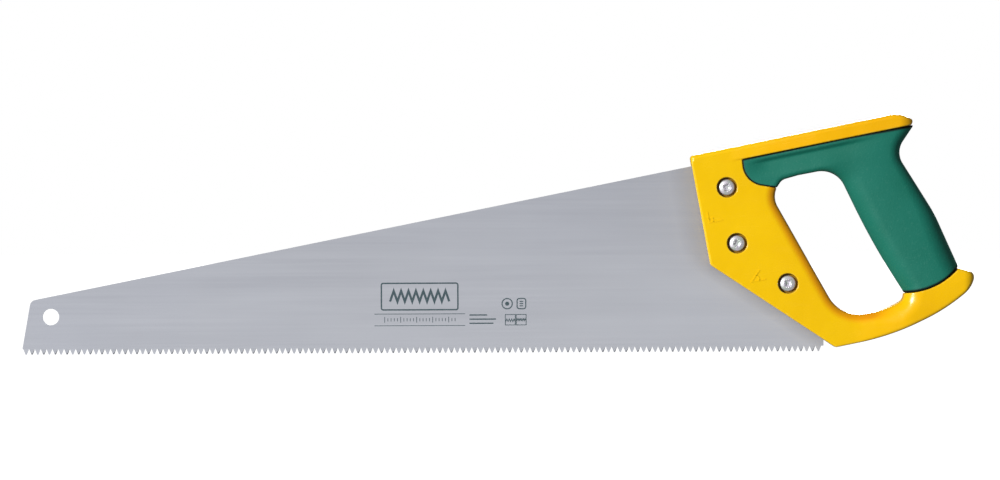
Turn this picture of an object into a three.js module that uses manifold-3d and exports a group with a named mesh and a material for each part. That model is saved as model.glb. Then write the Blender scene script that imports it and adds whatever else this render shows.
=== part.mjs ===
// A hand saw: a tapered steel blade bolted into a two-tone plastic handle.
//
// Millimetres, +Z up. X runs along the tooth line, from the toe (-X) to the handle (+X).
// Y is the thickness, with the blade's middle plane at Y = 0. The tooth tips stand on Z = 0.
// Side outlines are drawn in the XZ plane as corners [x, z, fillet radius].

import * as THREE from "three";
import { mergeVertices } from "three/addons/utils/BufferGeometryUtils.js";
import Module from "manifold-3d";

const wasm = await Module();
wasm.setup();

// Driving dimensions

const GAP = 0.3; // between pieces that touch on the real saw
const REACH = 40; // how far a cutting block runs past what it cuts
const ROUND_SIDES = 24; // facets of a bore or a screw

const BLADE_THICKNESS = 0.9;
const TOOTH_PITCH = 3.64; // about seven teeth to the inch
const TOOTH_COUNT = 137;
const TOOTH_DEPTH = 3.15;
const FIRST_TIP_X = -294.7;
const TOE_X = -297.6;
const TOE_LEAN = 0.1745; // run over rise of the toe's edge
const TOE_RADIUS = 3;
const HEEL_X = 203.6;
const BACK_SLOPE = 0.1991;
const BACK_POINT = [120.7, 116.2]; // where the blade's back runs into the handle
const HANG_HOLE = { x: -279.1, z: 23.5, radius: 5.1 };

// Half of the handle's thickness
const CHEEK_HALF = 10;
const RAIL_HALF = 15;
const GUARD_HALF = 14.4;
const GRIP_HALF = 14;
const TONGUE_HALF = 10.8;
const CORE_HALF = 7.5; // the stiff core inside the soft sleeve

const RAIL_SLOPE = 0.2042;
const RAIL_POINT = [125.7, 123.4]; // on the handle's top line
const SEAM_POINT = [159.4, 121.6]; // on the line where the rail meets the sleeve

const FASTENERS = { upper: [143.4, 102.6], middle: [149.6, 67.7], lower: [181.2, 42.5] };
const COUNTERBORE = { radius: 6.25, floor: 6.5 };
const HEAD = { radius: 4.9, under: 6.8, rim: 8.2, crown: 9.3 }; // heights are distances from Y = 0
const SHANK = { radius: 2.1, end: 5.8 };
const BARREL = { radius: 3.2, end: 4 };

const backZ = (x) => BACK_POINT[1] + BACK_SLOPE * (x - BACK_POINT[0]);
const railZ = (x) => RAIL_POINT[1] + RAIL_SLOPE * (x - RAIL_POINT[0]);
const seamZ = (x) => SEAM_POINT[1] + RAIL_SLOPE * (x - SEAM_POINT[0]);
const toeX = (z) => TOE_X + TOE_LEAN * (z - TOOTH_DEPTH);

// Outlines

const FRONT_TOP = [120.4, 122.3, 2];
const FRONT_CORNER = [132.9, 54.2, 2];
const HEEL_CORNER = [210.8, 2.5, 2];
const BELLY = [
  [244.2, 9.2, 157],
  [279.3, 25.9, 119],
];
const HORN = [
  [295.3, 39.2, 21],
  [298.8, 48.3, 3.7],
  [290.6, 50.7, 8],
];

// The z of the straight edge from corner `a` to corner `b` at x, and the x at z.
const edgeZ = (a, b, x) => a[1] + ((b[1] - a[1]) / (b[0] - a[0])) * (x - a[0]);
const edgeX = (a, b, z) => a[0] + ((b[0] - a[0]) / (b[1] - a[1])) * (z - a[1]);

const HAND_HOLE = [
  [171.2, 97.4, 12.7],
  [214.2, 20.8, 21.3],
  [240.4, 25.3, 56],
  [255.5, 34.8, 6.3],
  [233.3, 69.1, 399],
  [212.0, 114.5, 15.2],
  [188.0, 110.0, 40],
  [177.7, 107.1, 6.3],
];

// Everything ahead of the hand hole, and the guard's middle layer. Its top edge lies inside the rail.
const CHEEK = [
  [edgeX(FRONT_TOP, FRONT_CORNER, 119), 119, 0],
  FRONT_CORNER,
  HEEL_CORNER,
  BELLY[0],
  [264, edgeZ(BELLY[0], BELLY[1], 264), 0],
  [264, 60, 0],
  [186, 95, 0],
  [186, railZ(186) - 2, 0],
];

const GUARD = [
  [214, edgeZ(HEEL_CORNER, BELLY[0], 214), 0],
  ...BELLY,
  ...HORN,
  [286.6, 57, 0],
  [272, 60, 0],
  [240, 44, 0],
  [214, 40, 0],
];

// The band along the top, from the front edge to the nose behind the hand.
const RAIL = [
  FRONT_TOP,
  [249.5, railZ(249.5), 7],
  [260.6, 145.4, 2],
  [258.9, seamZ(258.9), 1.5],
  [edgeX(FRONT_TOP, FRONT_CORNER, 114), 114, 0],
];

// The space that the sleeve fills, seen from the side. `gap` draws the sleeve back from it.
function sleeveBand(gap) {
  return [
    [152.2 + gap, seamZ(152.2) - gap, 0.6],
    [154.3 + gap, 105.7 + gap, 14],
    [174.4, 102.2 + gap, 0],
    [206, 60, 0],
    [250.8, 37.3 + gap, 0],
    [273.3, 36.5 + gap, 44],
    [288.2, 53.8 + gap, 0],
    [300, 90, 0],
    [300, seamZ(300) - gap, 0],
  ];
}

// The sleeve's own outline, drawn past the rail, the cheek and the guard so that they can cut it.
const SLEEVE = [
  [268, 10, 0],
  ...HAND_HOLE.slice(4),
  [171, 95, 0],
  [130, 95, 0],
  [130, 165, 0],
  [273, 165, 0],
  [260.4, 142.5, 2],
  [248.9, 124.2, 12.5],
  [273.1, 85.7, 95],
  [305, 15, 0],
];

// The stiff core, `grown` by the clearance where the sleeve's cavity is cut.
function core(grown) {
  return [
    [140, 122 + grown, 0],
    [140, 98, 0],
    [169 + grown, 101, 0],
    [171 + grown, 108.5 - grown, 3],
    [190, 114.5 - grown, 20],
    [215 - grown, 119 - grown, 8],
    [239 - grown, 71, 60],
    [262 - grown, 32, 0],
    [282 + grown, 44, 0],
    [263 + grown, 96, 90],
    [243 + grown, 121, 14],
    [250 + grown, 145, 0],
  ];
}

// Where the blade sits inside the handle. `grown` widens it into the slot.
const tang = (grown) => [
  [151.4 + grown, backZ(151.4) + grown, 0],
  [163 + grown, 100, 0],
  [196 + grown, 38, 0],
  [HEEL_X + grown, 24, 0],
];

// Solid helpers

function outline(corners) {
  const path = new THREE.Shape();
  corners.forEach(([x, z, radius], i) => {
    const corner = new THREE.Vector2(x, z);
    const before = corners.at(i - 1);
    const after = corners[(i + 1) % corners.length];
    const back = new THREE.Vector2(before[0], before[1]).sub(corner).normalize();
    const ahead = new THREE.Vector2(after[0], after[1]).sub(corner).normalize();
    const half = Math.acos(back.dot(ahead)) / 2;
    const tangent = radius / Math.tan(half);
    const first = back.clone().multiplyScalar(tangent).add(corner);
    if (i) path.lineTo(first.x, first.y);
    else path.moveTo(first.x, first.y);
    if (!radius) return;
    const last = ahead.clone().multiplyScalar(tangent).add(corner);
    const centre = back.clone().add(ahead).setLength(radius / Math.sin(half)).add(corner);
    const clockwise = back.cross(ahead) > 0;
    path.absarc(centre.x, centre.y, radius, first.sub(centre).angle(), last.sub(centre).angle(), clockwise);
  });
  path.closePath();
  return path;
}

function solid(geometry) {
  const bare = geometry.clone();
  bare.deleteAttribute("normal");
  bare.deleteAttribute("uv");
  const merged = mergeVertices(bare, 1e-4);
  const triVerts = [];
  for (let i = 0; i < merged.index.count; i += 3) {
    const [a, b, c] = merged.index.array.slice(i, i + 3);
    if (a !== b && b !== c && c !== a) triVerts.push(a, b, c);
  }
  return new wasm.Manifold(
    new wasm.Mesh({
      numProp: 3,
      vertProperties: merged.attributes.position.array,
      triVerts: new Uint32Array(triVerts),
    }),
  );
}

// A side outline extruded to `half` on both sides of the middle plane, with rounded rims.
function plate(shape, half, rim = 0, steps = 3) {
  const depth = 2 * (half - rim);
  const geometry = new THREE.ExtrudeGeometry(shape, {
    depth,
    curveSegments: 4,
    bevelEnabled: rim > 0,
    bevelThickness: rim,
    bevelSize: rim,
    bevelOffset: -rim,
    bevelSegments: steps,
  });
  geometry.translate(0, 0, -depth / 2);
  geometry.rotateX(Math.PI / 2);
  return solid(geometry);
}

// A plan outline (x, y) extruded through the whole height.
function prism(shape) {
  return solid(new THREE.ExtrudeGeometry(shape, { depth: 200, curveSegments: 4, bevelEnabled: false }));
}

function crossBore([x, z], radius, from, to) {
  const geometry = new THREE.CylinderGeometry(radius, radius, to - from, ROUND_SIDES);
  geometry.translate(x, (from + to) / 2, z);
  return solid(geometry);
}

function mesh(name, body, material) {
  const { vertProperties, triVerts } = body.getMesh();
  const geometry = new THREE.BufferGeometry();
  geometry.setAttribute("position", new THREE.BufferAttribute(vertProperties, 3));
  geometry.setIndex(new THREE.BufferAttribute(triVerts, 1));
  geometry.computeVertexNormals();
  const made = new THREE.Mesh(geometry, material);
  made.name = name;
  return made;
}

// Blade

function bladeShape() {
  const shape = new THREE.Shape();
  shape.moveTo(TOE_X, TOOTH_DEPTH);
  for (let i = 0; i < TOOTH_COUNT; i++) {
    const tip = FIRST_TIP_X + i * TOOTH_PITCH;
    shape.lineTo(tip - TOOTH_PITCH / 2, TOOTH_DEPTH);
    shape.lineTo(tip, 0);
  }
  shape.lineTo(FIRST_TIP_X + (TOOTH_COUNT - 0.5) * TOOTH_PITCH, TOOTH_DEPTH);
  shape.lineTo(HEEL_X, TOOTH_DEPTH);
  tang(0).reverse().forEach(([x, z]) => shape.lineTo(x, z));
  const toeTop = toeX(34);
  shape.lineTo(toeTop + TOE_RADIUS, backZ(toeTop + TOE_RADIUS));
  shape.quadraticCurveTo(toeTop, backZ(toeTop), toeX(34 - TOE_RADIUS), 34 - TOE_RADIUS);
  shape.closePath();
  return shape;
}

function blade() {
  let body = plate(bladeShape(), BLADE_THICKNESS / 2);
  const holes = [crossBore([HANG_HOLE.x, HANG_HOLE.z], HANG_HOLE.radius, -REACH, REACH)];
  for (const place of Object.values(FASTENERS)) {
    holes.push(crossBore(place, BARREL.radius + GAP, -REACH, REACH));
  }
  for (const hole of holes) body = body.subtract(hole);
  return body;
}

// Handle

const handHole = () => plate(outline(HAND_HOLE), REACH);

// The blade's slot, open at the handle's front and mitred edges.
function bladeSlot() {
  const front = [[100, -10, 0], [100, backZ(100) + GAP, 0]];
  const corners = [...front, ...tang(GAP), [HEEL_X + GAP, -10, 0]];
  return plate(outline(corners), BLADE_THICKNESS / 2 + GAP);
}

// A plan outline (x, y), symmetric about Y = 0, from the corners of its +Y side in order of x.
const symmetric = (side) => outline([...side.map(([x, y, r]) => [x, -y, r]), ...side.toReversed()]);

// Seen from above: the guard swells from the cheek's thickness to a round horn, the rail widens into
// a lip over the sleeve and ends in a round nose, and the sleeve swells from its tongue to the grip.
const GUARD_PLAN = [
  [200, CHEEK_HALF - 1.5, 0],
  [222, CHEEK_HALF, 60],
  [250, GUARD_HALF, 40],
  [299, GUARD_HALF, 13],
];
const RAIL_PLAN = [
  [110, CHEEK_HALF, 0],
  [146, CHEEK_HALF, 60],
  [200, RAIL_HALF, 80],
  [261, RAIL_HALF, 10],
];
const SLEEVE_PLAN = [
  [120, TONGUE_HALF, 0],
  [170, TONGUE_HALF, 80],
  [215, GRIP_HALF, 60],
  [320, GRIP_HALF, 0],
];

function handleFrame() {
  const cheek = plate(outline(CHEEK), CHEEK_HALF, 1.5);
  const guard = plate(outline(GUARD), GUARD_HALF, 3.6).intersect(prism(symmetric(GUARD_PLAN)));
  const rail = plate(outline(RAIL), RAIL_HALF, 1.4).intersect(prism(symmetric(RAIL_PLAN)));
  const pocket = plate(outline(sleeveBand(0)), REACH);
  let body = cheek.add(guard).subtract(pocket).add(rail);
  body = body.subtract(handHole()).add(plate(outline(core(0)), CORE_HALF, 2));
  body = body.subtract(bladeSlot());
  for (const place of Object.values(FASTENERS)) {
    body = body.subtract(crossBore(place, BARREL.radius + GAP, -REACH, REACH));
    body = body.subtract(crossBore(place, COUNTERBORE.radius, COUNTERBORE.floor, REACH));
    body = body.subtract(crossBore(place, COUNTERBORE.radius, -REACH, -COUNTERBORE.floor));
  }
  return body;
}

function gripSleeve() {
  const outer = plate(outline(SLEEVE), GRIP_HALF, 7).intersect(prism(symmetric(SLEEVE_PLAN)));
  const band = plate(outline(sleeveBand(GAP)), REACH);
  const cavity = plate(outline(core(GAP)), CORE_HALF + GAP, 2);
  return outer.intersect(band).subtract(handHole()).subtract(cavity);
}

// Fasteners, each turned about an axis along Y

const DOME = [
  [0, HEAD.crown],
  [HEAD.radius * 0.55, HEAD.crown - 0.25],
  [HEAD.radius - 0.5, HEAD.rim + 0.35],
  [HEAD.radius, HEAD.rim],
  [HEAD.radius, HEAD.under],
];

const lathe = (profile) =>
  solid(new THREE.LatheGeometry(profile.map(([r, y]) => new THREE.Vector2(r, y)), ROUND_SIDES));

function bar(width, length, depth) {
  const geometry = new THREE.BoxGeometry(length, depth, width);
  geometry.translate(0, HEAD.crown, 0);
  return geometry;
}

// A cross-headed screw. It is drawn with its head at +Y and turned to enter from -Y.
function screw() {
  const shank = [[SHANK.radius, HEAD.under], [SHANK.radius, -SHANK.end], [0, -SHANK.end]];
  const cross = solid(bar(1.1, 5.4, 3)).add(solid(bar(1.1, 5.4, 3).rotateY(Math.PI / 2)));
  return lathe([...DOME, ...shank].reverse()).subtract(cross);
}

// A sleeve nut: a slotted head on a barrel, with a blind bore for the screw's shank.
function sleeveNut() {
  const boreRadius = SHANK.radius + GAP;
  const boreEnd = SHANK.end + GAP;
  const barrel = [[BARREL.radius, HEAD.under], [BARREL.radius, -BARREL.end]];
  const bore = [[boreRadius, -BARREL.end], [boreRadius, boreEnd], [0, boreEnd]];
  return lathe([...DOME, ...barrel, ...bore].reverse()).subtract(solid(bar(1.3, 12, 2)));
}

// Assembly

const steel = new THREE.MeshStandardMaterial({ color: 0xb4b6bc, roughness: 0.35, metalness: 1 });
const yellow = new THREE.MeshStandardMaterial({ color: 0xf4c307, roughness: 0.35, metalness: 0 });
const green = new THREE.MeshStandardMaterial({ color: 0x277562, roughness: 0.6, metalness: 0 });
const zinc = new THREE.MeshStandardMaterial({ color: 0xd2d4d6, roughness: 0.25, metalness: 1 });

const saw = new THREE.Group();
saw.add(mesh("blade", blade(), steel));
saw.add(mesh("handle_frame", handleFrame(), yellow));
saw.add(mesh("grip_sleeve", gripSleeve(), green));

for (const [place, [x, z]] of Object.entries(FASTENERS)) {
  const pair = new THREE.Group();
  pair.position.set(x, 0, z);
  const head = mesh("screw_" + place, screw(), zinc);
  head.rotation.z = Math.PI;
  pair.add(head, mesh("sleeve_nut_" + place, sleeveNut(), zinc));
  saw.add(pair);
}

export default saw;
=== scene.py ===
"""The looks of a hand saw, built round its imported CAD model.

The handle's frame and its soft sleeve, the toothed blade, the screws and nuts, and the marks on the
blade and the handle are all modelled here. Lengths are in millimetres, in the row frame, until a mesh
is made in metres: X runs along the tooth line towards the handle, Y is the thickness with the blade's
middle plane at 0, and the tooth tips stand on Z = 0.
"""

import itertools
import math

import bpy
import numpy as np
import openvdb
from mathutils import Matrix, Vector
from mathutils.geometry import tessellate_polygon


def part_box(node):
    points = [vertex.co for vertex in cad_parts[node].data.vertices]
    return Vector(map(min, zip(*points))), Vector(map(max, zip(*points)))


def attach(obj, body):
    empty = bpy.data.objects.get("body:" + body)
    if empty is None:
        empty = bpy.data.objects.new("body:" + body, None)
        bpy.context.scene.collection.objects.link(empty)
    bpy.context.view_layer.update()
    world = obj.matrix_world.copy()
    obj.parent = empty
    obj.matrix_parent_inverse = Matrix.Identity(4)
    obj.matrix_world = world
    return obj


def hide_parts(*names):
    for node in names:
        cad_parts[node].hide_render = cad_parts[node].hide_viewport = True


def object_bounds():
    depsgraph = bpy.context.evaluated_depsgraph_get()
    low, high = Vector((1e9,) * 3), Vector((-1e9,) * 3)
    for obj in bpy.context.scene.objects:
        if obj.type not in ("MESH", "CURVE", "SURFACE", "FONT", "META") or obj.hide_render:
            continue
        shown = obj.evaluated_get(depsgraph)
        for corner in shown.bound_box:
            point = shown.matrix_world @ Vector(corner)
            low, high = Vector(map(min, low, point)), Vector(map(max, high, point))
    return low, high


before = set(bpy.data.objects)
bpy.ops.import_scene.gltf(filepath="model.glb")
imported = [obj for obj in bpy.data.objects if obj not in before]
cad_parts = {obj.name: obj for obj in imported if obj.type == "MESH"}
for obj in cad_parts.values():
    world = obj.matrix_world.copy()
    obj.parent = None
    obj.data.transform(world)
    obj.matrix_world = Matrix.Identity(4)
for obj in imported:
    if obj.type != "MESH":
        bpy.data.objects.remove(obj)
cad_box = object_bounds()

MM = 0.001


def node_box(name):
    """A CAD node's lowest and highest corner in millimetres."""
    low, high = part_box(name)
    return np.array(low) / MM, np.array(high) / MM


# ---------------------------------------------------------------- sizes taken from the frame

BLADE_LOW, BLADE_HIGH = node_box("blade")
FRAME_LOW, FRAME_HIGH = node_box("handle_frame")
SLEEVE_LOW, SLEEVE_HIGH = node_box("grip_sleeve")
BLADE_HALF = BLADE_HIGH[1]
RAIL_HALF = FRAME_HIGH[1]
GRIP_HALF = SLEEVE_HIGH[1]
CHEEK_HALF = RAIL_HALF * 2 / 3
GUARD_HALF = RAIL_HALF - 0.6
TONGUE_HALF = CHEEK_HALF + 0.8
CORE_HALF = RAIL_HALF / 2


def fastener_places():
    """{place: (x, z)} of the three screws."""
    places = {}
    for place in ("upper", "middle", "lower"):
        low, high = node_box("screw_" + place)
        middle = (low + high) / 2
        places[place] = (middle[0], middle[2])
    return places


FASTENERS = fastener_places()
HEAD_LOW, HEAD_HIGH = node_box("screw_upper")
HEAD_RADIUS = (HEAD_HIGH[0] - HEAD_LOW[0]) / 2
HEAD_CROWN = -HEAD_LOW[1]
SHANK_END = HEAD_HIGH[1]
COUNTERBORE_RADIUS = 6.25
COUNTERBORE_FLOOR = 6.5  # from the blade's middle plane
BARREL_BORE = 3.5
FIT = 0.1  # how far the blade's slot and the sleeve's cavity stand off what they hold

# ---------------------------------------------------------------- outlines, following the CAD model's
# Each outline is drawn in the XZ plane, or in the XY plane for a plan, as corners (x, z, fillet radius).

RAIL_SLOPE = 0.2042
RAIL_POINT = (125.7, 123.4)
SEAM_SLOPE = 0.2008
SEAM_POINT = (159.4, 121.15)
BACK_SLOPE = 0.1991
BACK_POINT = (120.7, 115.8)


def rail_z(x):
    """The handle's top line."""
    return RAIL_POINT[1] + RAIL_SLOPE * (x - RAIL_POINT[0])


def seam_z(x):
    """The line where the rail meets the sleeve."""
    return SEAM_POINT[1] + SEAM_SLOPE * (x - SEAM_POINT[0])


def back_z(x):
    """The blade's back."""
    return BACK_POINT[1] + BACK_SLOPE * (x - BACK_POINT[0])


def edge_x(a, b, z):
    """The x at z on the straight edge from corner a to corner b."""
    return a[0] + (b[0] - a[0]) / (b[1] - a[1]) * (z - a[1])


FRONT_TOP = (120.4, 122.3, 2)
FRONT_CORNER = (132.9, 54.2, 2)
HEEL_CORNER = (210.8, 2.5, 2)
BELLY = [(244.2, 9.2, 157), (279.3, 25.9, 119)]
HORN = [(295.3, 39.2, 21), (298.8, 48.3, 3.7), (290.6, 50.7, 8), (284, 52.6, 0)]

HAND_HOLE = [
    (171.2, 97.4, 12.7),
    (214.2, 20.8, 21.3),
    (240.4, 25.3, 56),
    (255.9, 33.4, 5.5),
    (233.3, 69.1, 399),
    (212.0, 114.5, 15.2),
    (188.0, 110.0, 40),
    (177.7, 107.1, 6.3),
]
HANDLE = [
    (edge_x(FRONT_TOP, FRONT_CORNER, 119), 119, 0),
    FRONT_CORNER,
    HEEL_CORNER,
    *BELLY,
    *HORN,
    (272, 60, 0),
    (186, rail_z(186) - 2, 0),
]
RAIL = [
    FRONT_TOP,
    (250.5, rail_z(250.5) - 0.5, 16),
    (259.9, 144.2, 1.9),
    (258.6, seam_z(258.6), 1.0),
    (edge_x(FRONT_TOP, FRONT_CORNER, 114), 114, 0),
]
SLEEVE = [
    (130, 0, 0),
    (130, 165, 0),
    (273, 165, 0),
    (261.8, 143.3, 1.2),
    (248.9, 124.2, 12.5),
    (273.1, 85.7, 95),
    (305, 15, 0),
    (305, 0, 0),
]


def sleeve_band(gap):
    """The space that the sleeve fills between the rail, the cheek and the guard, drawn in by gap."""
    return [
        (152.9 + gap, seam_z(152.9) - gap, 0.6),
        (154.5 + gap, 105.3 + gap, 14),
        (174.4, 102.2 + gap, 0),
        (206, 60, 0),
        (250.8, 36.3 + gap, 0),
        (273.6, 35.6 + gap, 44),
        (288.6, 53.0 + gap, 0),
        (300, 90, 0),
        (300, seam_z(300) - gap, 0),
    ]


def core(grown):
    """The stiff core inside the sleeve."""
    return [
        (140, 122 + grown, 0),
        (140, 98, 0),
        (169 + grown, 101, 0),
        (171 + grown, 108.5 - grown, 3),
        (190, 114.5 - grown, 20),
        (215 - grown, 119 - grown, 8),
        (239 - grown, 71, 60),
        (262 - grown, 32, 0),
        (282 + grown, 44, 0),
        (263 + grown, 96, 90),
        (243 + grown, 121, 14),
        (250 + grown, 145, 0),
    ]


def tang(grown):
    """Where the blade ends inside the handle."""
    return [
        (151.4 + grown, back_z(151.4) + grown, 0),
        (163 + grown, 100, 0),
        (196 + grown, 38, 0),
        (BLADE_HIGH[0] + grown, 24, 0),
    ]


def symmetric(edge):
    """A plan outline, symmetric about Y = 0, from the corners of its +Y side in order of x."""
    return [(x, -y, r) for x, y, r in edge] + edge[::-1]


HANDLE_PLAN = symmetric([
    (100, CHEEK_HALF, 0),
    (224, CHEEK_HALF, 60),
    (256, GUARD_HALF, 50),
    (299, GUARD_HALF, 8),
])
RAIL_PLAN = symmetric([
    (110, CHEEK_HALF, 0),
    (146, CHEEK_HALF, 60),
    (200, RAIL_HALF, 80),
    (261, RAIL_HALF, 10),
])

# ---------------------------------------------------------------- signed distances


FILLET_SAG = 0.002  # how far the chords that stand for a fillet may cut into it


def unit(vectors):
    """Vectors of length 1 in the same directions."""
    return vectors / np.linalg.norm(vectors, axis=-1, keepdims=True)


def outline_distance(corners, u, v):
    """The signed distance, negative inside, from points (u, v) to an outline of corners with fillets."""
    spots = np.array([c[:2] for c in corners], float)
    radii = np.array([c[2] for c in corners], float)
    back = unit(np.roll(spots, 1, 0) - spots)
    ahead = unit(np.roll(spots, -1, 0) - spots)
    half = np.arccos(np.clip((back * ahead).sum(1), -1, 1)) / 2
    reach = (radii / np.tan(half))[:, None]
    first = spots + back * reach
    last = spots + ahead * reach
    centres = spots + unit(back + ahead) * (radii / np.sin(half))[:, None]

    u, v = np.broadcast_arrays(u, v)
    distance = np.full(u.shape, np.inf)
    path = []
    for i, radius in enumerate(radii):
        start, end = last[i - 1], first[i]
        run = end - start
        along = np.clip(((u - start[0]) * run[0] + (v - start[1]) * run[1]) / max(run @ run, 1e-12), 0, 1)
        straight = np.hypot(u - start[0] - along * run[0], v - start[1] - along * run[1])
        distance = np.minimum(distance, straight)
        path.append(first[i])
        if radius == 0:
            continue
        arm = unit(first[i] - centres[i])
        middle = unit(arm + unit(last[i] - centres[i]))
        out_u, out_v = u - centres[i][0], v - centres[i][1]
        away = np.hypot(out_u, out_v)
        within = out_u * middle[0] + out_v * middle[1] >= (arm @ middle) * away
        distance = np.where(within, np.minimum(distance, abs(away - radius)), distance)
        turn = 2 * math.acos(min(1, arm @ middle))
        side = np.sign(arm[0] * middle[1] - arm[1] * middle[0])
        steps = max(2, math.ceil(turn * math.sqrt(radius / (8 * FILLET_SAG))))
        angle = math.atan2(arm[1], arm[0]) + side * turn * np.arange(1, steps + 1) / steps
        path.extend(centres[i] + radius * np.stack([np.cos(angle), np.sin(angle)], 1))

    inside = np.zeros(u.shape, bool)
    for (u0, v0), (u1, v1) in zip(path, path[1:] + path[:1]):
        if v0 == v1:
            continue
        crossing = u0 + (v - v0) * (u1 - u0) / (v1 - v0)
        inside ^= ((v0 > v) != (v1 > v)) & (u < crossing)
    return np.where(inside, -distance, distance).astype(np.float32)


def both(a, b, radius):
    """What is inside a and b, with the edge between them rounded to that radius."""
    corner = np.hypot(np.maximum(radius + a, 0), np.maximum(radius + b, 0))
    return np.minimum(-radius, np.maximum(a, b)) + corner


def either(a, b, radius):
    """What is inside a or b, with the inner corner between them filled to that radius."""
    return -both(-a, -b, radius)


def ramp(value, start, end):
    """0 before start, 1 after end, and smooth in between."""
    share = np.clip((value - start) / (end - start), 0, 1)
    return share * share * (3 - 2 * share)


class Block:
    """A box of space sampled on a grid, where a solid is shaped as a field of signed distances."""

    def __init__(self, low, high, step):
        self.low = np.array(low, float)
        self.step = step
        counts = np.ceil((np.array(high) - self.low) / step).astype(int) + 1
        xs, ys, zs = (np.float32(lo + step * np.arange(n)) for lo, n in zip(low, counts))
        self.x = xs[:, None, None]
        self.y = ys[None, :, None]
        self.z = zs[None, None, :]

    def side(self, corners):
        """Distances from an outline that is seen from the side."""
        return outline_distance(corners, self.x, self.z)

    def plan(self, corners):
        """Distances from an outline that is seen from above."""
        return outline_distance(corners, self.x, self.y)

    def sample(self, field, points):
        """The field's value at each point, between the grid's own points too."""
        place = (points - self.low) / self.step
        cell = np.clip(np.floor(place).astype(int), 0, np.array(field.shape) - 2)
        part = place - cell
        total = np.zeros(len(points))
        for corner in itertools.product((0, 1), repeat=3):
            weight = np.prod(np.where(corner, part, 1 - part), axis=1)
            total += weight * field[tuple((cell + corner).T)]
        return total

    def slope(self, field, points):
        """How fast the field grows at each point, along X, Y and Z."""
        reach = self.step * 0.75
        parts = [
            self.sample(field, points + reach * axis) - self.sample(field, points - reach * axis)
            for axis in np.eye(3)
        ]
        return np.stack(parts, 1) / (2 * reach)

    def surface(self, field):
        """Points, faces and normals of the surface where the field is zero.

        The first points lie near the surface, and three small steps along the slope take them onto it.
        """
        grid = openvdb.FloatGrid(background=float(self.step * 4))
        grid.copyFromArray(np.ascontiguousarray(field, np.float32))
        points, triangles, quads = grid.convertToPolygons(isovalue=0.0, adaptivity=0.0)
        points = points * self.step + self.low
        for _ in range(3):
            slope = self.slope(field, points)
            size = np.maximum(np.linalg.norm(slope, axis=1, keepdims=True), 0.3)
            move = self.sample(field, points)[:, None] * slope / size**2
            points -= np.clip(move, -self.step / 3, self.step / 3)
        normals = unit(self.slope(field, points))
        faces = triangles.tolist() + quads.tolist()
        return points, faces, normals

    def bend(self, field, points, reach):
        """How sharply the surface turns at each point, in 1/mm: above zero on an outer edge."""
        around = sum(
            self.sample(field, points + sign * reach * axis) for axis in np.eye(3) for sign in (-1, 1)
        )
        return (around - 6 * self.sample(field, points)) / reach**2


# ---------------------------------------------------------------- meshes


def make_object(name, points, faces, material, normals=None):
    """A piece of the saw, from points in millimetres, that rides on the saw's only body."""
    mesh = bpy.data.meshes.new(name)
    mesh.from_pydata((np.array(points, float) * MM).tolist(), [], faces)
    mesh.update()
    if normals is not None:
        mesh.shade_smooth()
        mesh.normals_split_custom_set_from_vertices(normals.tolist())
    else:
        mesh.shade_flat()
    piece = bpy.data.objects.new(name, mesh)
    bpy.context.scene.collection.objects.link(piece)
    mesh.materials.append(material)
    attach(piece, "root")
    return piece


def add_values(piece, name, values):
    """Stores one number per vertex, which the piece's material reads by name."""
    layer = piece.data.attributes.new(name, "FLOAT", "POINT")
    layer.data.foreach_set("value", np.float32(values))


# ---------------------------------------------------------------- materials


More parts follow.
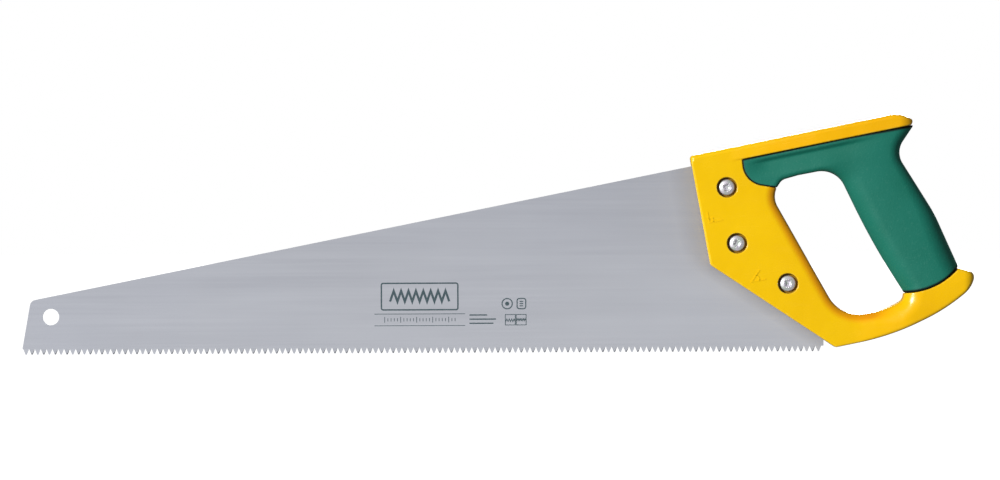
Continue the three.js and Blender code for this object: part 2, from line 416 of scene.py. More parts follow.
class Nodes:
    """A material's node tree with short ways to add the nodes that the finishes share."""

    def __init__(self, name):
        self.material = bpy.data.materials.new(name)
        self.material.use_nodes = True
        self.tree = self.material.node_tree
        self.tree.nodes.clear()
        self.shader = self.add("ShaderNodeBsdfPrincipled")
        output = self.add("ShaderNodeOutputMaterial")
        self.join(self.shader.outputs["BSDF"], output.inputs["Surface"])
        self.coordinates = self.add("ShaderNodeTexCoord").outputs["Object"]

    def add(self, kind, **settings):
        node = self.tree.nodes.new(kind)
        for name, value in settings.items():
            setattr(node, name, value)
        return node

    def join(self, source, target):
        self.tree.links.new(source, target)

    def feed(self, target, value):
        if isinstance(value, bpy.types.NodeSocket):
            self.join(value, target)
        else:
            target.default_value = value

    def noise(self, scale, detail=2.0, stretch=(1, 1, 1)):
        """Noise with about scale features to the metre, drawn out on an axis where stretch is small."""
        mapping = self.add("ShaderNodeMapping")
        mapping.inputs["Scale"].default_value = stretch
        self.join(self.coordinates, mapping.inputs["Vector"])
        noise = self.add("ShaderNodeTexNoise")
        noise.inputs["Scale"].default_value = scale
        noise.inputs["Detail"].default_value = detail
        self.join(mapping.outputs["Vector"], noise.inputs["Vector"])
        return noise.outputs["Fac"]

    def distance_left(self, corner, other):
        """How far, in metres, a point lies on the left of the way from one corner to the other.

        Left is as the camera sees it, with X to the right and Z up.
        """
        run = np.array(other[:2]) - corner[:2]
        across = (-run[1], 0, run[0]) / np.hypot(*run)
        node = self.add("ShaderNodeVectorMath", operation="DOT_PRODUCT")
        self.join(self.coordinates, node.inputs[0])
        node.inputs[1].default_value = across
        return self.math("SUBTRACT", node.outputs["Value"], (across @ (corner[0], 0, corner[1])) * MM)

    def attribute(self, name):
        return self.add("ShaderNodeAttribute", attribute_name=name).outputs["Fac"]

    def span(self, value, low, high, start=0.0, end=1.0):
        """value, from low to high, turned into start to end."""
        node = self.add("ShaderNodeMapRange")
        for socket, number in zip(node.inputs[:5], (value, low, high, start, end)):
            self.feed(socket, number)
        return node.outputs["Result"]

    def math(self, operation, a, b):
        node = self.add("ShaderNodeMath", operation=operation)
        self.feed(node.inputs[0], a)
        self.feed(node.inputs[1], b)
        return node.outputs["Value"]

    def mix(self, share, a, b):
        node = self.add("ShaderNodeMix", data_type="RGBA")
        self.feed(node.inputs["Factor"], share)
        self.feed(node.inputs["A"], a)
        self.feed(node.inputs["B"], b)
        return node.outputs["Result"]

    def bump(self, height, depth, below=None):
        """A bump whose height of 1 stands depth metres proud."""
        node = self.add("ShaderNodeBump")
        node.inputs["Distance"].default_value = depth
        self.feed(node.inputs["Height"], height)
        if below is not None:
            self.join(below, node.inputs["Normal"])
        return node.outputs["Normal"]

    def set(self, name, value):
        self.feed(self.shader.inputs[name], value)


def linear(red, green, blue):
    """A colour given as on a screen, from 0 to 255, in the linear values that shaders take."""
    parts = []
    for part in (red, green, blue):
        share = part / 255
        parts.append(share / 12.92 if share <= 0.04045 else ((share + 0.055) / 1.055) ** 2.4)
    return (*parts, 1.0)


def yellow_plastic():
    """Glossy moulded plastic, worn on its edges, with painted shade: orange on the rail, the guard and
    the hand hole's rim, and dark brown in its gaps.
    """
    n = Nodes("yellow_plastic")
    cloud = n.span(n.noise(28, 3), 0.3, 0.7)
    yellow = n.mix(cloud, linear(245, 194, 0), linear(251, 202, 1))
    orange = n.mix(cloud, linear(243, 170, 0), linear(248, 178, 0))
    # Painted shade: orange, and deeper orange above 1 at the hand hole's rim, where faces turn away from
    # the lamps.
    painted_warm_shade = n.attribute("painted_warm_shade")
    colour = n.mix(n.span(painted_warm_shade, 0, 1), yellow, orange)
    colour = n.mix(n.span(painted_warm_shade, 1, 1.6, 0, 0.7), colour, linear(218, 116, 0))
    speckle = n.span(n.noise(1900, 1), 0.66, 0.78, 0, 0.25)
    colour = n.mix(speckle, colour, linear(252, 214, 60))
    worn = n.math("MULTIPLY", n.attribute("edge"), n.span(n.noise(420, 4), 0.45, 0.68, 0, 0.5))
    colour = n.mix(worn, colour, linear(255, 220, 90))
    # Painted shade: dark brown in the counterbores, the seam and on the front edges round the blade's
    # slot.
    n.set("Base Color", n.mix(n.attribute("painted_dark_shade"), colour, linear(108, 72, 28)))
    scuffs = n.noise(75, 5, (1, 1, 2.5))
    n.set("Roughness", n.span(scuffs, 0.3, 0.75, 0.18, 0.32))
    n.set("Specular IOR Level", 0.36)
    grain = n.bump(n.noise(1500, 2), 0.00004)
    n.set("Normal", n.bump(n.noise(60, 2), 0.00035, grain))
    return n.material


def green_rubber():
    """Soft overmould with a fine pebbled grain and a little dust, and painted shade along its seam."""
    n = Nodes("green_rubber")
    cloud = n.span(n.noise(35, 4), 0.3, 0.7)
    colour = n.mix(cloud, linear(18, 109, 90), linear(25, 117, 99))
    dust = n.span(n.noise(900, 3), 0.58, 0.8, 0, 0.22)
    colour = n.mix(dust, colour, linear(86, 150, 132))
    worn = n.math("MULTIPLY", n.attribute("edge"), n.span(n.noise(500, 4), 0.4, 0.7, 0, 0.35))
    colour = n.mix(worn, colour, linear(74, 146, 128))
    # Painted shade: near black along the seam with the frame.
    n.set("Base Color", n.mix(n.attribute("painted_dark_shade"), colour, linear(10, 22, 18)))
    n.set("Roughness", n.span(n.noise(120, 4), 0.3, 0.7, 0.52, 0.68))
    n.set("Specular IOR Level", 0.25)
    pebble = n.add("ShaderNodeTexVoronoi")
    pebble.inputs["Scale"].default_value = 1100
    n.join(n.coordinates, pebble.inputs["Vector"])
    grain = n.bump(pebble.outputs["Distance"], 0.00007)
    n.set("Normal", n.bump(n.noise(700, 3), 0.00006, grain))
    return n.material


def blade_steel():
    """Rolled steel, with a painted sheen that makes it lighter where the blade is deep, and painted shade
    along the handle's front edge.
    """
    n = Nodes("blade_steel")
    rolled = n.noise(900, 3, (0.012, 1, 1))
    broad = n.noise(60, 3, (0.08, 1, 1))
    cloud = n.noise(9, 3)
    tone = n.math("ADD", n.math("MULTIPLY", rolled, 0.35), n.math("MULTIPLY", broad, 0.65))
    colour = n.mix(n.span(tone, 0.35, 0.65), linear(181, 183, 191), linear(189, 191, 198))
    colour = n.mix(n.span(cloud, 0.35, 0.65, 0, 0.3), colour, linear(181, 184, 195))
    along_back = [(x, back_z(x)) for x in (120, -250)]
    below_back = n.distance_left(*along_back)
    # Painted sheen: lighter further below the back, towards the teeth.
    colour = n.mix(n.span(below_back, 0.015, 0.11, 0, 0.4), colour, linear(212, 214, 220))
    spots = n.span(n.noise(2600, 2), 0.7, 0.85, 0, 0.2)
    colour = n.mix(spots, colour, linear(120, 124, 132))
    # Painted shade: darker blue grey on the blade beside the handle's front edge, above the mitre.
    painted_front_shade = n.span(n.distance_left(FRONT_TOP, FRONT_CORNER), -0.016, 0, 0, 0.28)
    above_mitre = n.span(n.distance_left(FRONT_CORNER, HEEL_CORNER), -0.008, 0)
    n.set("Base Color", n.mix(n.math("MULTIPLY", painted_front_shade, above_mitre), colour, linear(62, 70, 94)))
    n.set("Metallic", 0.4)
    n.set("Roughness", n.span(tone, 0.3, 0.7, 0.44, 0.52))
    fine = n.bump(rolled, 0.00001)
    n.set("Normal", n.bump(n.noise(14, 2), 0.0002, fine))
    return n.material


def bright_zinc():
    """Zinc plating with faint green and violet patches and dull stains."""
    n = Nodes("bright_zinc")
    patch = n.noise(420, 3)
    colour = n.mix(n.span(patch, 0.4, 0.6), linear(222, 230, 222), linear(232, 224, 236))
    stain = n.span(n.noise(900, 4), 0.5, 0.72, 0, 0.5)
    n.set("Base Color", n.mix(stain, colour, linear(158, 166, 160)))
    n.set("Metallic", 0.55)
    n.set("Roughness", n.span(patch, 0.35, 0.65, 0.3, 0.44))
    n.set("Normal", n.bump(n.noise(1400, 3), 0.00003))
    return n.material


def dark_ink():
    """Printed ink, worn thin in places."""
    n = Nodes("dark_ink")
    thin = n.span(n.noise(1500, 4), 0.5, 0.75, 0, 0.5)
    n.set("Base Color", n.mix(thin, linear(66, 84, 90), linear(120, 130, 136)))
    n.set("Roughness", n.span(n.noise(500, 2), 0.3, 0.7, 0.55, 0.75))
    n.set("Specular IOR Level", 0.3)
    n.set("Normal", n.bump(n.noise(2500, 2), 0.00001))
    return n.material


YELLOW = yellow_plastic()
GREEN = green_rubber()
STEEL = blade_steel()
ZINC = bright_zinc()
INK = dark_ink()

# ---------------------------------------------------------------- handle

HANDLE_STEP = 0.5
MARGIN = 3 * HANDLE_STEP
SEAM_GAP = 0.05
RAIL_MIDDLE = 126  # about halfway up the rail, over SEAM_POINT


def handle_block(low, high):
    """The space of a CAD node's box, with a margin round it."""
    return Block(low - MARGIN, high + MARGIN, HANDLE_STEP)


def rail_field(block):
    """The band along the handle's top: round along its upper edge, crisp along its lip."""
    middle = (block.x - SEAM_POINT[0]) * RAIL_SLOPE + RAIL_MIDDLE
    rim = 0.8 + 1.8 * ramp(block.z - middle, -2, 2)
    return both(block.side(RAIL), block.plan(RAIL_PLAN), rim)


def handle_field(block):
    """The cheeks, and below the hand the guard, which swells to its horn, with a crowned lower edge."""
    shape = block.side(HANDLE)
    guard = ramp(block.x, 212, 250)
    crown_width = 12
    crown = 0.5 * guard * (1 - np.clip(-shape / crown_width, 0, 1)) ** 2
    rim = 1.1 + 0.9 * guard
    return both(shape, block.plan(HANDLE_PLAN) + crown, rim)


def frame_field(block, outer):
    """The frame within its outer surface: the sleeve's pocket and core, the blade's slot, the bores."""
    pocket_edge, core_edge, bore_edge = 0.5, 2, 0.4
    thickness = abs(block.y)
    body = both(outer, -block.side(sleeve_band(0)), pocket_edge)
    body = np.minimum(body, rail_field(block))
    body = np.minimum(body, both(block.side(core(0)), thickness - CORE_HALF, core_edge))
    start, below = 100, -10  # ahead of the handle and under it
    slot = [
        (start, below, 0),
        (start, back_z(start) + FIT, 0),
        *tang(FIT),
        (BLADE_HIGH[0] + FIT, below, 0),
    ]
    body = np.maximum(body, -np.maximum(block.side(slot), thickness - BLADE_HALF - FIT))
    for x, z in FASTENERS.values():
        away = np.hypot(block.x - x, block.z - z)
        sunk = np.maximum(away - COUNTERBORE_RADIUS, COUNTERBORE_FLOOR - thickness)
        body = both(body, -sunk, bore_edge)
        body = np.maximum(body, BARREL_BORE - away)
    return body


def wear(block, field, points):
    """How worn each point is, from 0 to 1, by how sharply the surface turns there."""
    return np.clip(block.bend(field, points, 1.0) * 0.8 - 0.1, 0, 1)


def near_bores(points):
    """1 at the points in a fastener's counterbore, and 0 elsewhere."""
    away = [np.hypot(points[:, 0] - x, points[:, 2] - z) for x, z in FASTENERS.values()]
    return np.min(away, axis=0) < COUNTERBORE_RADIUS + 0.5


def near_seam(points, width):
    """1 at the points where the frame and the sleeve meet, falling to 0 at width from the seam."""
    gap = abs(outline_distance(sleeve_band(0), points[:, 0], points[:, 2]))
    return 1 - ramp(gap, 0.5 * width, width)


def paint_frame_dark_shade(points, sunk):
    """How much painted dark shade each point takes: in the screws' counterbores, in the seam and on the
    front edges round the blade's slot.
    """
    x, y, z = points.T
    # Painted shade in the counterbores and in the seam.
    painted_dark_shade = sunk * np.maximum(0.8 * near_bores(points), near_seam(points, 0.8))
    # Painted shade on the front edges round the blade's slot.
    front = ramp(outline_distance(HANDLE, x, z), -0.6, -0.2) * (x < HEEL_CORNER[0]) * ramp(-z, -118, -112)
    return np.maximum(painted_dark_shade, 0.6 * front * ramp(-abs(y), -4.5, -1))


def paint_frame_warm_shade(points):
    """How far each point's yellow turns to orange, as painted shade: on the rail, the guard and the hand
    hole's rim.
    """
    x, _, z = points.T
    rail = ramp(z - seam_z(x), -1.5, 1.5) * ramp(x, 128, 190)
    guard = ramp(x, 205, 250) * ramp(-z, -80, -60)
    rim = (1 - ramp(outline_distance(HAND_HOLE, x, z), 2.4, 6.6)) * (1 - ramp(x, 232, 250))
    return np.clip(0.7 * rail + 0.3 * guard + 1.2 * rim, 0, 1.6)


def build_frame():
    block = handle_block(FRAME_LOW, FRAME_HIGH)
    rim_depth = 4.2 + 3.3 * ramp(block.x, 225, 252)
    depth_to_width = 0.62  # of the hand hole's rim, which is wider in the side view than it is deep
    outer = both(handle_field(block), -depth_to_width * block.side(HAND_HOLE), rim_depth)
    field = frame_field(block, outer)
    points, faces, normals = block.surface(field)
    piece = make_object("handle_moulding", points, faces, YELLOW, normals)
    sunk = ramp(-block.sample(np.minimum(outer, rail_field(block)), points), 0.15, 0.5)
    add_values(piece, "edge", wear(block, field, points))
    # Painted dark shade.
    add_values(piece, "painted_dark_shade", paint_frame_dark_shade(points, sunk))
    # Painted shade: how far the yellow turns orange.
    add_values(piece, "painted_warm_shade", paint_frame_warm_shade(points))
    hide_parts("handle_frame")


def grip_half(block, back, hole):
    """Half of the sleeve's thickness: thin at the tongue, full at the grip, grooved under the rail."""
    groove_depth, crown_height = 2.0, 2.1
    below = seam_z(block.x) - block.z
    groove = ramp(below, 1.6, 4.6) * (1 - ramp(below, 4.6, 15))
    groove = groove_depth * groove * ramp(block.x, 154, 170) * (1 - ramp(block.x, 205, 245))
    swell = (GRIP_HALF - TONGUE_HALF) * ramp(block.x, 165, 215)
    across = np.clip((hole + back) / np.maximum(hole - back, 1), -1, 1)
    crown = crown_height * across**2 * ramp(block.x, 205, 228)
    return TONGUE_HALF + swell - crown - groove


def sleeve_field(block):
    """The sleeve: its tongue under the rail and its grip, with the core's cavity inside."""
    thickness = abs(block.y)
    back = block.side(SLEEVE)
    hole = block.side(HAND_HOLE)
    half = grip_half(block, back, hole)
    back_rim = 7 + 5.5 * ramp(-block.z, -115, -60)
    hole_rim = 3.2 + 8.3 * ramp(block.x, 200, 232)
    body = both(back, thickness - half, back_rim)
    body = both(body, -hole, hole_rim)
    seam_rim = 0.9 + 0.5 * ramp(block.x, 222, 256)
    body = both(body, block.side(sleeve_band(SEAM_GAP)), seam_rim)
    cavity = np.maximum(block.side(core(FIT)), thickness - CORE_HALF - FIT)
    return np.maximum(body, -cavity)


def build_sleeve():
    block = handle_block(SLEEVE_LOW, SLEEVE_HIGH)
    field = sleeve_field(block)
    points, faces, normals = block.surface(field)
    piece = make_object("grip_overmould", points, faces, GREEN, normals)
    add_values(piece, "edge", wear(block, field, points))
    # Painted shade along the seam, wider towards the grip.
    add_values(piece, "painted_dark_shade", near_seam(points, 1.1 + 1.1 * ramp(points[:, 0], 215, 256)))
    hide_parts("grip_sleeve")


# ---------------------------------------------------------------- blade

TOOTH_COUNT = 137
TOOTH_DEPTH = 3.5
TOOTH_PITCH = 3.64
FIRST_TIP = BLADE_LOW[0] + 2.9
TOE_LEAN = 0.1745  # run over rise of the toe's edge
TOE_RADIUS = 3.0
TOE_TOP = 33.6  # about where the toe's edge meets the back
TOE_INSET = 0.55  # how much shorter the toe is than the CAD blade's
TIP_WIDTH = 0.8
BEVEL = 1.0  # how much shorter a tooth is on the side away from its point
SET = 0.14  # how far each point leans out of the blade's plane
HANG_HOLE = (-279.1, 23.5, 5.1)  # x, z and radius


def toe_x(z):
    """The toe's edge."""
    return BLADE_LOW[0] + TOE_INSET + TOE_LEAN * (z - TOOTH_DEPTH)


def ring(x, z, radius, sides):
    """A round loop of points."""
    angles = np.arange(sides) * 2 * math.pi / sides
    return [(x + radius * math.cos(a), z + radius * math.sin(a)) for a in angles]


def blade_outline():
    """The blade without its teeth: the tooth line, then by the heel, the tang, the back and the toe."""
    gullets = [(FIRST_TIP + (i - 0.5) * TOOTH_PITCH, TOOTH_DEPTH) for i in range(TOOTH_COUNT + 1)]
    outer = [*gullets, (BLADE_HIGH[0], TOOTH_DEPTH)]
    outer += [(x, z) for x, z, _ in tang(0)[::-1]]
    top = toe_x(TOE_TOP)
    start = np.array([top + TOE_RADIUS, back_z(top + TOE_RADIUS)])
    corner = np.array([top, back_z(top)])
    end = np.array([toe_x(TOE_TOP - TOE_RADIUS), TOE_TOP - TOE_RADIUS])
    for t in np.linspace(0, 1, 9):
        outer.append(tuple((1 - t) ** 2 * start + 2 * t * (1 - t) * corner + t * t * end))
    outer.append((toe_x(TOOTH_DEPTH), TOOTH_DEPTH))
    return outer


def plate_mesh(loops, low_y, high_y):
    """Points and faces of a flat plate between two values of y, from its outline and its holes."""
    flat = [p for loop in loops for p in loop]
    count = len(flat)
    points = [(x, low_y, z) for x, z in flat] + [(x, high_y, z) for x, z in flat]
    faces = []
    for tri in tessellate_polygon([[Vector((x, z, 0)) for x, z in loop] for loop in loops]):
        (ax, az), (bx, bz), (cx, cz) = (flat[i] for i in tri)
        if (bx - ax) * (cz - az) - (bz - az) * (cx - ax) < 0:
            tri = tri[::-1]
        faces.append(tuple(tri))
        faces.append(tuple(i + count for i in reversed(tri)))
    start = 0
    for number, loop in enumerate(loops):
        area = sum(a[0] * b[1] - b[0] * a[1] for a, b in zip(loop, loop[1:] + loop[:1]))
        forward = (area > 0) == (number == 0)
        for i in range(len(loop)):
            a, b = start + i, start + (i + 1) % len(loop)
            if not forward:
                a, b = b, a
            faces.append((b, a, a + count, b + count))
        start += len(loop)
    return points, faces


def build_blade():
    """The plate with its teeth: bevelled wedges with flat tips, set to one side and the other in turn."""
    outer = blade_outline()
    holes = [ring(*HANG_HOLE, 48)] + [ring(x, z, BARREL_BORE, 24) for x, z in FASTENERS.values()]
    points, faces = plate_mesh([outer, *holes], -BLADE_HALF, BLADE_HALF)
    count = len(points) // 2
    flat_edges = {(i + 1, i, i + count, i + 1 + count) for i in range(TOOTH_COUNT)}
    faces = [f for f in faces if f not in flat_edges]
    for i in range(TOOTH_COUNT):
        tip_x = FIRST_TIP + i * TOOTH_PITCH
        lean = -SET if i % 2 == 0 else SET
        front_z, back_tip_z = (0, BEVEL) if i % 2 == 0 else (BEVEL, 0)
        front, front_end, back, back_end = range(len(points), len(points) + 4)
        for y, z in ((lean - BLADE_HALF, front_z), (lean + BLADE_HALF, back_tip_z)):
            points += [(tip_x - TIP_WIDTH / 2, y, z), (tip_x + TIP_WIDTH / 2, y, z)]
        a, b = i, i + 1
        far_a, far_b = a + count, b + count
        faces += [(a, front, front_end), (a, front_end, b)]  # the side with a lower y
        faces += [(far_b, back_end, back), (far_b, back, far_a)]  # the side with a higher y
        faces += [(a, far_a, front), (far_a, back, front)]  # the flank towards the toe
        faces += [(front, back, front_end), (back, back_end, front_end)]  # the tip
        faces += [(front_end, back_end, b), (back_end, far_b, b)]  # the flank towards the handle
    piece = make_object("saw_blade", points, faces, STEEL)
    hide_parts("blade")


# ---------------------------------------------------------------- marks


def stroke(path, width, closed=False):
    """The loops round a line of that width along a path: one, or two where the path is closed."""
    spots = np.array(path, float)
    if closed:
        before, after = np.roll(spots, 1, 0), np.roll(spots, -1, 0)
    else:
        before = np.vstack([2 * spots[0] - spots[1], spots[:-1]])
        after = np.vstack([spots[1:], 2 * spots[-1] - spots[-2]])
    way_in, way_out = unit(spots - before), unit(after - spots)
    turned = np.stack([-(way_in + way_out)[:, 1], (way_in + way_out)[:, 0]], 1)
    normal = unit(turned)
    mitre = (normal * np.stack([-way_in[:, 1], way_in[:, 0]], 1)).sum(1, keepdims=True)
    offset = normal * width / 2 / mitre
    left, right = (spots + offset).tolist(), (spots - offset).tolist()
    if closed:
        area = sum(a[0] * b[1] - b[0] * a[1] for a, b in zip(left, left[1:] + left[:1]))
        inner = sum(a[0] * b[1] - b[0] * a[1] for a, b in zip(right, right[1:] + right[:1]))
        return [left, right] if abs(area) > abs(inner) else [right, left]
    return [left + right[::-1]]


def level_bar(x0, x1, z, width):
    """The loops of a bar of that width along X, about the height z."""
    low, high = z - width / 2, z + width / 2
    return [[(x0, low), (x1, low), (x1, high), (x0, high)]]


def upright_bar(x, z, width, height):
    """The loops of a bar along Z about the point (x, z)."""
    left, right = x - width / 2, x + width / 2
    low, high = z - height / 2, z + height / 2
    return [[(left, low), (right, low), (right, high), (left, high)]]


def rounded_frame(x0, z0, x1, z1, radius, steps=8):
    """A loop with four round corners."""
    loop = []
    turns = ((x1, z0, -1), (x1, z1, 0), (x0, z1, 1), (x0, z0, 2))
    for x, z, quarter in turns:
        cx = x + (radius if x == x0 else -radius)
        cz = z + (radius if z == z0 else -radius)
        for i in range(steps + 1):
            angle = (quarter + i / steps) * math.pi / 2
            loop.append((cx + radius * math.cos(angle), cz + radius * math.sin(angle)))
    return loop


def marks_mesh(shapes, outer_y, inner_y):
    """One mesh of several flat shapes, each a list of loops, standing from inner_y out to outer_y."""
    points, faces = [], []
    for loops in shapes:
        more, more_faces = plate_mesh(loops, min(outer_y, inner_y), max(outer_y, inner_y))
        faces += [tuple(i + len(points) for i in f) for f in more_faces]
        points += more
    return points, faces


def zigzag(x0, x1, low, high, count):
    """A path of that many teeth."""
    step = (x1 - x0) / count
    path = [(x0, low)]
    for i in range(count):
        path += [(x0 + (i + 0.5) * step, high), (x0 + (i + 1) * step, low)]
    return path


def framed_teeth():
    """A tooth line in a frame with round corners."""
    outline = rounded_frame(-72.6, 27.0, -24.8, 43.6, 1.2)
    teeth = zigzag(-67.2, -30.2, 32.2, 38.8, 8)
    return [stroke(outline, 0.9, closed=True), stroke(teeth, 1.4)]


def ruled_scale():
    """A row of ticks between two long lines, every fifth tick taller."""
    line_width, middle, first, spacing = 0.4, 20.8, -70.6, 2
    shapes = [level_bar(-77, -20.3, z, line_width) for z in (24.4, 17.1)]
    for i in range(23):
        height = 3.6 if i % 5 == 0 else 2.0
        shapes.append(upright_bar(first + spacing * i, middle, line_width, height))
    return shapes


def three_bars():
    """Bars of three lengths, one under the other."""
    left, top, spacing, width = -17.6, 23.6, 2.6, 0.8
    ends = (-6.5, -1.0, -2.6)
    return [level_bar(left, end, top - spacing * row, width) for row, end in enumerate(ends)]


def ring_sign():
    """A ring with a dot in it."""
    x, z = 6.0, 30.6
    return [stroke(ring(x, z, 3.2, 32), 0.7, closed=True), [ring(x, z, 1.3, 24)]]


def panel_sign():
    """A small panel with three bars in it."""
    outline = rounded_frame(12.2, 27.4, 17.6, 33.8, 1.4, steps=4)
    bars = [level_bar(13.8, 16.0, z, 0.7) for z in (29.2, 30.6, 32.0)]
    return [stroke(outline, 0.7, closed=True), *bars]


def tooth_signs():
    """Two squares side by side, with a coarse tooth line in one and a fine one in the other."""
    low, high, width = 17.3, 23.8, 6.2
    shapes = []
    for x in (4.8, 11.6):
        square = [(x, low), (x + width, low), (x + width, high), (x, high)]
        shapes.append(stroke(square, 0.45, closed=True))
    shapes.append(stroke(zigzag(5.0, 11.0, 19.4, 21.0, 4), 0.5))
    shapes.append(stroke(zigzag(11.8, 17.6, 20.0, 21.2, 6), 0.5))
    return shapes


def build_print():
    """Plain printed marks on the side of the blade that the camera sees."""
    proud, sunk = 0.03, 0.02
    shapes = framed_teeth() + ruled_scale() + three_bars() + ring_sign() + panel_sign() + tooth_signs()
    points, faces = marks_mesh(shapes, -BLADE_HALF - proud, -BLADE_HALF + sunk)
    make_object("blade_print", points, faces, INK)


def turned(path, x, z, angle):
    """A path turned by an angle in radians and moved to (x, z)."""
    cos, sin = math.cos(angle), math.sin(angle)
    return [(x + u * cos - v * sin, z + u * sin + v * cos) for u, v in path]


def build_angle_marks():
    """Raised signs beside the two straight edges, on both sides: a square corner, and half of one."""
    proud, sunk, line_width = 0.22, 0.1, 0.7
    along_back = math.atan(BACK_SLOPE)
    square = [[(0, 7), (0, 0), (8.5, 0)], [(0, 2.6), (2.6, 2.6), (2.6, 0)]]
    arc = [(5.2 * math.cos(a), 5.2 * math.sin(a)) for a in np.linspace(0, math.pi / 4, 8)]
    half = [[(6.4, 6.4), (0, 0), (9.0, 0)], arc]
    shapes = []
    for paths, x, z in ((square, 132.4, 80.6), (half, 158.5, 43.5)):
        shapes += [stroke(turned(path, x, z, along_back), line_width) for path in paths]
    points, faces = marks_mesh(shapes, -CHEEK_HALF - proud, -CHEEK_HALF + sunk)
    back_points, back_faces = marks_mesh(shapes, CHEEK_HALF + proud, CHEEK_HALF - sunk)
    faces += [tuple(i + len(points) for i in f) for f in back_faces]
    make_object("angle_marks", points + back_points, faces, YELLOW)


# ---------------------------------------------------------------- fasteners

FASTENER_STEP = 0.16
HEAD_UNDER = 6.8
SHANK_TOP = 7  # where shanks and barrels end, just inside the head
DOME_DROP = 0.9  # how much lower the head's rim is than its crown
SHANK_RADIUS = 2.1
BARREL_RADIUS = 3.2
BARREL_END = 4
BARREL_HOLE_RADIUS = 2.2
BARREL_HOLE_FLOOR = 6.1
PIT_RADIUS = 1.3
PIT_FLOOR = 7.4
TURNS = {"upper": 0.3, "middle": -0.35, "lower": 0.75}  # radians, how each fastener stands turned


def head_field(block):
    """A domed head with its crown at +Y, and how far each point is from the axis."""
    rim = 0.7
    away = np.hypot(block.x, block.z)
    dome = block.y - HEAD_CROWN + DOME_DROP * (away / HEAD_RADIUS) ** 2
    return np.maximum(both(away - HEAD_RADIUS, dome, rim), HEAD_UNDER - block.y), away


def slot_field(block, turn, length, width, floor, flare):
    """A straight slot across the axis, wider towards its mouth, and longer there by flare."""
    widening = 0.12
    along = abs(block.x * math.cos(turn) + block.z * math.sin(turn))
    across = abs(block.z * math.cos(turn) - block.x * math.sin(turn))
    rise = block.y - floor
    sides = np.maximum(along - length / 2 - flare * rise, across - width / 2 - widening * rise)
    return np.maximum(sides, -rise)


def screw_field(block):
    """A cross-headed screw with its head at +Y: two crossed slots, fine marks between them and a pit."""
    wing_edge, mark_edge, neck_fillet = 0.12, 0.1, 0.3
    body, away = head_field(block)
    for turn in (0, math.pi / 2):
        wing = slot_field(block, turn, length=3.6, width=1.1, floor=7.5, flare=0.6)
        body = both(body, -wing, wing_edge)
        between = turn + math.pi / 4
        mark = slot_field(block, between, length=5.0, width=0.28, floor=HEAD_CROWN - 0.5, flare=0)
        body = both(body, -mark, mark_edge)
    pit = away - PIT_RADIUS - 0.5 * (block.y - PIT_FLOOR)
    body = both(body, -np.maximum(pit, PIT_FLOOR - block.y), mark_edge)
    ends = np.maximum(block.y - SHANK_TOP, -SHANK_END - block.y)
    return either(body, np.maximum(away - SHANK_RADIUS, ends), neck_fillet)


def nut_field(block):
    """A sleeve nut with its head at +Y: one straight slot across the head, and a bored barrel."""
    slot_edge, neck_fillet = 0.15, 0.2
    body, away = head_field(block)
    slot = slot_field(block, 0, length=14, width=1.2, floor=HEAD_CROWN - 1.2, flare=0)
    body = both(body, -slot, slot_edge)
    ends = np.maximum(block.y - SHANK_TOP, -BARREL_END - block.y)
    body = either(body, np.maximum(away - BARREL_RADIUS, ends), neck_fillet)
    return np.maximum(body, -np.maximum(away - BARREL_HOLE_RADIUS, block.y - BARREL_HOLE_FLOOR))


def build_fasteners():
    room = HEAD_RADIUS + 0.5
    block = Block((-room, -SHANK_END - 0.5, -room), (room, HEAD_CROWN + 0.5, room), FASTENER_STEP)
    for kind, field, face in (("screw", screw_field(block), -1), ("sleeve_nut", nut_field(block), 1)):
        points, faces, normals = block.surface(field)
        for place, (x, z) in FASTENERS.items():
            cos, sin = math.cos(TURNS[place]), math.sin(TURNS[place])
            spin = np.array([[cos, 0, sin], [0, 1, 0], [-sin, 0, cos]])
            facing = spin @ np.diag([face, face, 1])
            moved = points @ facing.T + (x, 0, z)
            name = f"{kind}_{place}_zinc"
            piece = make_object(name, moved, faces, ZINC, normals @ facing.T)
            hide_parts(f"{kind}_{place}")


build_frame()
build_sleeve()
build_blade()
build_print()
build_angle_marks()
build_fasteners()

# ---------------------------------------------------------------- stage, light and camera


WHITE = (1, 1, 1, 1)
GLOW = 0.18
GLOW_COLOUR = (0.93, 0.96, 1, 1)
LAMP_DISTANCE = 16.0


def build_floor():
    """A plain white floor just under the saw. It takes little light, so that it looks even."""
    n = Nodes("floor_white")
    n.set("Base Color", (0.12, 0.12, 0.12, 1))
    n.set("Roughness", 0.9)
    n.set("Specular IOR Level", 0.0)
    n.set("Emission Color", WHITE)
    n.set("Emission Strength", 1.0)
    half, drop = 30.0, 0.0002
    points = [(-half, -half, 0), (half, -half, 0), (half, half, 0), (-half, half, 0)]
    mesh = bpy.data.meshes.new("floor")
    mesh.from_pydata(points, [], [(0, 1, 2, 3)])
    floor = bpy.data.objects.new("floor", mesh)
    floor.location.z = cad_box[0].z - drop
    mesh.materials.append(n.material)
    floor.visible_diffuse = False
    floor.visible_glossy = False
    bpy.context.scene.collection.objects.link(floor)


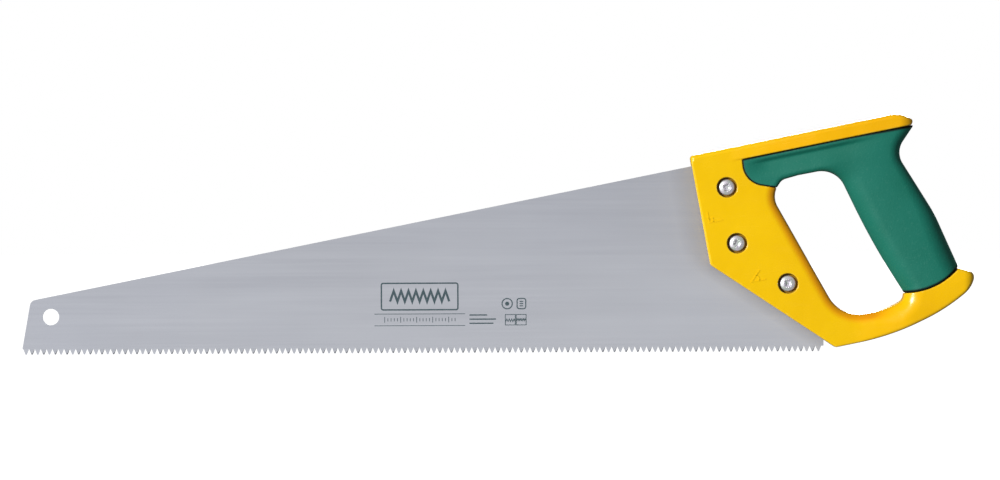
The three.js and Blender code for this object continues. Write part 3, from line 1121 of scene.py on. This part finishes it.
def build_world():
    """A white room to the camera. What lights the saw is a dim even glow, so that the lamps shape it."""
    world = bpy.data.worlds.new("studio")
    bpy.context.scene.world = world
    world.use_nodes = True
    tree = world.node_tree
    tree.nodes.clear()
    glow = tree.nodes.new("ShaderNodeBackground")
    glow.inputs["Color"].default_value = GLOW_COLOUR
    glow.inputs["Strength"].default_value = GLOW
    white = tree.nodes.new("ShaderNodeBackground")
    white.inputs["Color"].default_value = WHITE
    pick = tree.nodes.new("ShaderNodeMixShader")
    tree.links.new(tree.nodes.new("ShaderNodeLightPath").outputs["Is Camera Ray"], pick.inputs["Fac"])
    tree.links.new(glow.outputs["Background"], pick.inputs[1])
    tree.links.new(white.outputs["Background"], pick.inputs[2])
    output = tree.nodes.new("ShaderNodeOutputWorld")
    tree.links.new(pick.outputs["Shader"], output.inputs["Surface"])


def add_lamp(name, towards, size, brightness, shine):
    """A round lamp in the direction towards. At brightness 1 a white face turned to it looks white.

    The value shine scales its highlights.
    """
    middle = (cad_box[0] + cad_box[1]) / 2
    data = bpy.data.lights.new(name, "AREA")
    data.shape = "DISK"
    data.size = size
    data.energy = brightness * (math.pi * LAMP_DISTANCE) ** 2
    data.specular_factor = shine
    lamp = bpy.data.objects.new(name, data)
    lamp.location = middle + Vector(towards).normalized() * LAMP_DISTANCE
    lamp.rotation_mode = "QUATERNION"
    lamp.rotation_quaternion = (middle - lamp.location).to_track_quat("-Z", "Y")
    lamp.visible_camera = False
    bpy.context.scene.collection.objects.link(lamp)


def build_camera():
    """A long lens level with the saw's middle, looking along +Y and rolled by a quarter of a degree."""
    distance = 4.0
    seen_width = 0.625
    aim_x, aim_z = 0.0017, 0.0704
    roll = math.radians(0.2535)
    data = bpy.data.cameras.new("camera")
    data.lens = data.sensor_width * distance / seen_width
    data.clip_end = 100
    camera = bpy.data.objects.new("camera", data)
    across = Vector((math.cos(roll), 0, -math.sin(roll)))
    up = Vector((math.sin(roll), 0, math.cos(roll)))
    pose = Matrix((across, up, across.cross(up))).transposed().to_4x4()
    pose.translation = (aim_x, -distance, aim_z)
    camera.matrix_world = pose
    bpy.context.scene.collection.objects.link(camera)
    bpy.context.scene.camera = camera


build_floor()
build_world()
add_lamp("key", (-0.66, -0.74, 0.2), size=2.6, brightness=1.17, shine=1.0)
add_lamp("back", (0.1, 0.9, 0.42), size=6.0, brightness=1.0, shine=0.2)
build_camera()
bpy.context.scene.view_settings.view_transform = "Standard"
